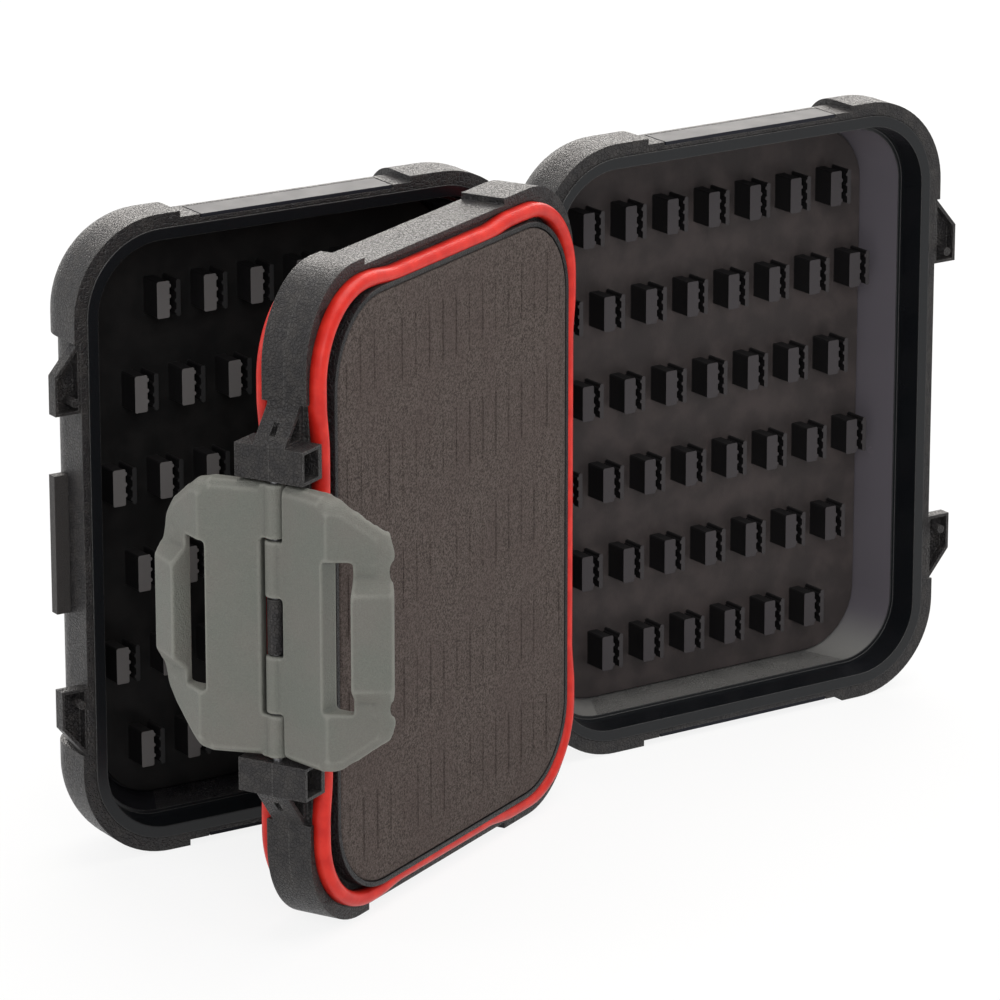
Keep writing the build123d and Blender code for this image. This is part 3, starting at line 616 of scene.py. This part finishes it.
def stacked(outlines, heights, places, first):
    """Points, numbered from `first`, and faces of copies of one stack of outlines: each copy adds
    its place to every outline, joins each outline to the next and has a flat face at both ends."""
    level = np.stack(outlines)
    levels, count = level.shape[:2]
    u = places[:, None, None, 0] + level[None, :, :, 0]
    v = places[:, None, None, 1] + level[None, :, :, 1]
    w = np.broadcast_to(np.asarray(heights)[None, :, None], u.shape)
    faces = []
    for start in range(first, first + len(places) * levels * count, levels * count):
        last = start + (levels - 1) * count
        faces += grid_faces(levels, count, False, True, start)
        faces += [list(range(start, start + count)), list(range(last, last + count))]
    return np.stack([u, v, w], axis=-1).reshape(-1, 3), faces


for word, side in SIDES.items():
    *_, along_w, start = cover_axes(word)
    rubber = Finish(f"mat_rubber_{word}", MAT_RUBBER, roughness=0.6, specular=0.18)
    w = rubber.along(along_w, start)
    on_top = 1 - w.between(*TOP_FADE_W)
    on_floor = w.between(MAT_FACE_W - FLOOR_FADE, MAT_FACE_W)
    blots = rubber.noise(7.0, detail=4.0)
    # Painted shade: the left tray's floor is painted darker than the right's.
    floor_tone = rubber.mix(blots.between(0.35, 0.7), *FLOOR_BLOTS_AND_SHADE[word])
    # Painted light: in the left tray the thick walls' tops are painted pale and the thin ones dark.
    top_tone = rubber.mix(rubber.attribute("thick_wall"), *TOP_LIGHT_AND_SHADE[word])
    # Painted shade: the posts' sides, between their tops and the floor, are painted dark.
    tone = rubber.mix(on_floor, POST_SIDE_SHADE, floor_tone)
    rubber.feed("Base Color", rubber.mix(on_top, tone, top_tone))
    rubber.feed("Roughness", 0.5 + 0.2 * blots)
    rubber_height = rubber.noise(0.5, detail=4.0) + rubber.noise(3.0, detail=2.0)
    rubber.relief(rubber_height, depth_mm=0.035, edge_mm=0.1)

    rows, columns = np.meshgrid(np.arange(POST_ROWS), np.arange(POST_COLUMNS), indexing="ij")
    odd = rows % 2
    at_corner = (rows == 0) & ((columns == 0) | (columns == POST_COLUMNS - 1))
    kept = (columns < POST_COLUMNS - odd) & ~at_corner
    pitch_v = (HEIGHT - 2 * POST_MARGIN_V) / (POST_ROWS - 1)
    middle_u = POST_FIRST_U - POST_WIDTH / 2 - (columns + odd / 2) * POST_PITCH_U
    middle_v = HEIGHT / 2 + side * POST_SHIFT_V + ((POST_ROWS - 1) / 2 - rows) * pitch_v
    posts = np.stack([middle_u[kept], middle_v[kept]], axis=-1)
    mat_middle = np.array([[(MAT_HIGH_U + MAT_LOW_U) / 2, HEIGHT / 2]])

    back = -side * POST_WIDTH / 2
    thick_face = back + side * THICK_WALL
    thin_face = thick_face + side * SLIT_WIDTH
    post_heights = [MAT_FACE_W + POST_ROOT, MAT_FACE_W - POST_FOOT_RISE, POST_FACE_W + POST_EDGE,
                    POST_FACE_W]
    stacks = [([grown(wall, POST_FOOT), wall, wall, grown(wall, -POST_EDGE)], post_heights, posts)
              for wall in (post_wall(back, thick_face, side, NUB_SHIFT),
                           post_wall(-back, thin_face, -side, -NUB_SHIFT))]
    half_u, half_v = (MAT_HIGH_U - MAT_LOW_U) / 2, HEIGHT / 2 - MAT_MARGIN_V
    plate = [rounded_loop(half_u - inset, half_v - inset, MAT_CORNER - inset, MAT_POINTS)[0]
             for inset in (0.0, 0.0, MAT_EDGE)]
    stacks.append((plate, [MAT_BACK_W, MAT_FACE_W + MAT_EDGE, MAT_FACE_W], mat_middle))

    parts, faces = [], []
    for outlines, heights, places in stacks:
        more, more_faces = stacked(outlines, heights, places, sum(map(len, parts)))
        parts.append(more)
        faces += more_faces
    points = np.concatenate(parts)
    mat = make_piece(f"rubber_mat_{word}", on_cover(word, *points.T), faces, rubber,
                     f"{word}_cover", f"post_mat_{word}")
    mat.data.set_sharp_from_angle(angle=SHARP)
    on_thick = (np.arange(len(points)) < len(parts[0])).astype(float)
    mat.data.attributes.new("thick_wall", "FLOAT", "POINT").data.foreach_set("value", on_thick)


# Latches. Sage-grey mouldings with a fine grain and soft edges all over, hinged on one pin. A
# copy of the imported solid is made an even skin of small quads, whose points then settle toward
# their neighbours: least near the pin, and longest at the corners of each tip and shoulder.
SKIN = 0.36
PIN_Y = -24.7
KNUCKLE_REACH = (2.7, 3.6)
PULL_AT_PIN, PULL_MORE, CORNER_PULL = 0.08, 0.42, 0.5
SETTLING_ROUNDS, CORNER_ROUNDS, RIDGE_ROUNDS = 7, 70, 5
TIP_FROM_PIN, TIP_FROM_MIDDLE = (25.5, 27.5), (14.6, 22.0)
SHOULDER_FROM_PIN, SHOULDER_FROM_MIDDLE = (16.0, 20.5), (27.5, 29.5)
CORNER_RUN = 1.5
RIDGE_SINK = 0.05
SAME_PLACE = 0.001
SAGE = (0.150, 0.155, 0.135)
GREEN_SAGE, WARM_SAGE = (0.137, 0.146, 0.127), (0.153, 0.148, 0.132)
PALE_SAGE = (0.2, 0.205, 0.182)
RIDGE_HIGHLIGHT, CREASE_SHADE = (0.26, 0.262, 0.235), (0.085, 0.09, 0.08)

latch_sage = Finish("latch_sage", SAGE, roughness=0.5, specular=0.4)
pits = latch_sage.noise(0.3, detail=3.0, rough=0.6)
tint = latch_sage.noise(12.0, detail=3.0)
ridge = latch_sage.attribute("ridge")
tone = latch_sage.mix(tint.between(0.3, 0.7), GREEN_SAGE, WARM_SAGE)
tone = latch_sage.mix(pits.between(0.35, 0.7) * 0.45, tone, PALE_SAGE)
# Painted highlight on the ridges and painted shade in the creases, from each point's ridge number.
tone = latch_sage.mix(ridge.between(0.1, 1.0) * 0.6, tone, RIDGE_HIGHLIGHT)
tone = latch_sage.mix((0 - ridge).between(0.1, 1.0) * 0.5, tone, CREASE_SHADE)
latch_sage.feed("Base Color", tone)
latch_sage.feed("Roughness", 0.5 + 0.12 * pits)
latch_sage.relief(pits + latch_sage.noise(0.9, detail=2.0) * 0.6, depth_mm=0.4)


def read(items, key, width, kind=float):
    """One property of all items of a mesh, as rows of `width` values."""
    values = np.empty(len(items) * width, dtype=kind)
    items.foreach_get(key, values)
    return values.reshape(-1, width)


def settled(points, edges, pull, rounds):
    """In each round a point moves by its own pull, a share of the way to the mean of the points
    that it shares edges with."""
    ends = np.concatenate([edges[:, 0], edges[:, 1]])
    others = np.concatenate([edges[:, 1], edges[:, 0]])
    count = np.bincount(ends, minlength=len(points))[:, None]
    for _ in range(rounds):
        total = np.stack([np.bincount(ends, points[others, axis], len(points))
                          for axis in range(3)], axis=-1)
        points = points + pull * (total / count - points)
    return points


for word in SIDES:
    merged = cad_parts[f"latch_{word}"].data.copy()
    work = bmesh.new()
    work.from_mesh(merged)
    bmesh.ops.remove_doubles(work, verts=work.verts, dist=SAME_PLACE * MM)
    work.to_mesh(merged)
    work.free()
    piece = bpy.data.objects.new(f"soft_latch_{word}", merged)
    bpy.context.scene.collection.objects.link(piece)
    skin = piece.modifiers.new("skin", "REMESH")
    skin.mode = "VOXEL"
    skin.voxel_size = SKIN * MM
    bpy.context.view_layer.update()
    evaluated = piece.evaluated_get(bpy.context.evaluated_depsgraph_get())
    mesh = bpy.data.meshes.new_from_object(evaluated)
    piece.modifiers.clear()
    piece.data = mesh

    points, edges = read(mesh.vertices, "co", 3), read(mesh.edges, "vertices", 2, int)
    from_pin = np.hypot(points[:, 0], points[:, 1] - PIN_Y * MM) / MM
    pull = PULL_AT_PIN + PULL_MORE * smooth_step(from_pin, *KNUCKLE_REACH)
    points = settled(points, edges, pull[:, None], SETTLING_ROUNDS)
    from_middle = np.abs(points[:, 2] / MM - HEIGHT / 2)
    tips = smooth_step(from_pin, *TIP_FROM_PIN) * window(from_middle, *TIP_FROM_MIDDLE, CORNER_RUN)
    shoulders = (window(from_pin, *SHOULDER_FROM_PIN, CORNER_RUN)
                 * smooth_step(from_middle, *SHOULDER_FROM_MIDDLE))
    corners = np.maximum(tips, shoulders)
    points = settled(points, edges, CORNER_PULL * corners[:, None], CORNER_ROUNDS)
    mesh.vertices.foreach_set("co", points.ravel())
    mesh.shade_smooth()
    mesh.update()

    # Ridge number: how far a point stands out of its neighbours, 1 on ridges and -1 in creases,
    # used to paint highlight and shade.
    sunk = settled(points, edges, CORNER_PULL, RIDGE_ROUNDS) - points
    ridge = -np.sum(sunk * read(mesh.vertices, "normal", 3), axis=1) / (RIDGE_SINK * MM)
    ridge = np.clip(ridge, -1, 1)
    mesh.attributes.new("ridge", "FLOAT", "POINT").data.foreach_set("value", ridge)
    mesh.materials.clear()
    mesh.materials.append(latch_sage.material)
    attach(piece, f"{word}_latch")
    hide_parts(f"latch_{word}")


# Studio. A pale floor that looks white to the camera but keeps the shadow, soft lamps above,
# behind, in front and at the left, and a world that is white behind the object.
FLOOR_REACH, FLOOR_LEVEL = 3.0, -0.0002
FLOOR_TONE, FLOOR_WHITE = (0.88, 0.88, 0.88), 0.86
WHITE = (1.0, 1.0, 1.0)
WORLD_LIGHT = 0.4
WARM_TOP, WARM_BACK = (1.0, 0.965, 0.92), (1.0, 0.95, 0.89)


def in_view(nodes):
    """1 for rays that reach the camera straight, mirrored or through glass, and 0 for the rest."""
    straight, mirrored, through = (nodes.node("ShaderNodeLightPath", {}, output=f"Is {kind} Ray")
                                   for kind in ("Camera", "Glossy", "Transmission"))
    return straight.most(mirrored.most(through))


def softbox(name, place, aim, size, watts, tint=WHITE):
    """Rectangular lamp at `place` whose face is turned toward `aim`."""
    lamp = bpy.data.lights.new(name, "AREA")
    lamp.shape = "RECTANGLE"
    lamp.size, lamp.size_y = size
    lamp.energy, lamp.color = watts, tint
    holder = bpy.data.objects.new(name, lamp)
    turn = (Vector(aim) - Vector(place)).to_track_quat("-Z", "Y")
    holder.matrix_world = Matrix.Translation(place) @ turn.to_matrix().to_4x4()
    bpy.context.scene.collection.objects.link(holder)


corners = [(x * FLOOR_REACH, y * FLOOR_REACH, FLOOR_LEVEL)
           for x, y in ((-1, -1), (1, -1), (1, 1), (-1, 1))]
floor_mesh = bpy.data.meshes.new("floor")
floor_mesh.from_pydata(corners, [], [(0, 1, 2, 3)])
floor = bpy.data.objects.new("floor", floor_mesh)
bpy.context.scene.collection.objects.link(floor)
pale = Finish("pale_floor", FLOOR_TONE, roughness=0.9, specular=0.0)
glow = pale.node("ShaderNodeEmission", {}, (*WHITE, 1.0), 1.0)
lit_floor = Wire(pale, pale.shader.outputs["BSDF"])
shown = pale.node("ShaderNodeMixShader", {}, in_view(pale) * FLOOR_WHITE, lit_floor, glow)
pale.join(shown, pale.tree.nodes["Material Output"].inputs["Surface"])
floor_mesh.materials.append(pale.material)

softbox("top_light", place=(0.1, 0.3, 1.1), aim=(0.0, 0.05, 0.07), size=(1.3, 1.0), watts=12.0,
        tint=WARM_TOP)
softbox("back_light", place=(-0.75, 1.3, 0.62), aim=(0.0, 0.08, 0.12), size=(1.5, 0.5),
        watts=13.0, tint=WARM_BACK)
softbox("front_light", place=(0.9, -1.2, 0.9), aim=(0.0, 0.0, 0.08), size=(0.9, 0.9), watts=9.4)
softbox("left_light", place=(-1.2, -0.8, 0.6), aim=(0.0, 0.0, 0.08), size=(0.7, 0.9), watts=4.0)

world = bpy.data.worlds.new("world")
bpy.context.scene.world = world
sky = Nodes(world)
light, white = (sky.node("ShaderNodeBackground", {}, (*WHITE, 1.0), strength)
                for strength in (WORLD_LIGHT, 1.0))
shown = sky.node("ShaderNodeMixShader", {}, in_view(sky), light, white)
sky.join(shown, sky.tree.nodes["World Output"].inputs["Surface"])
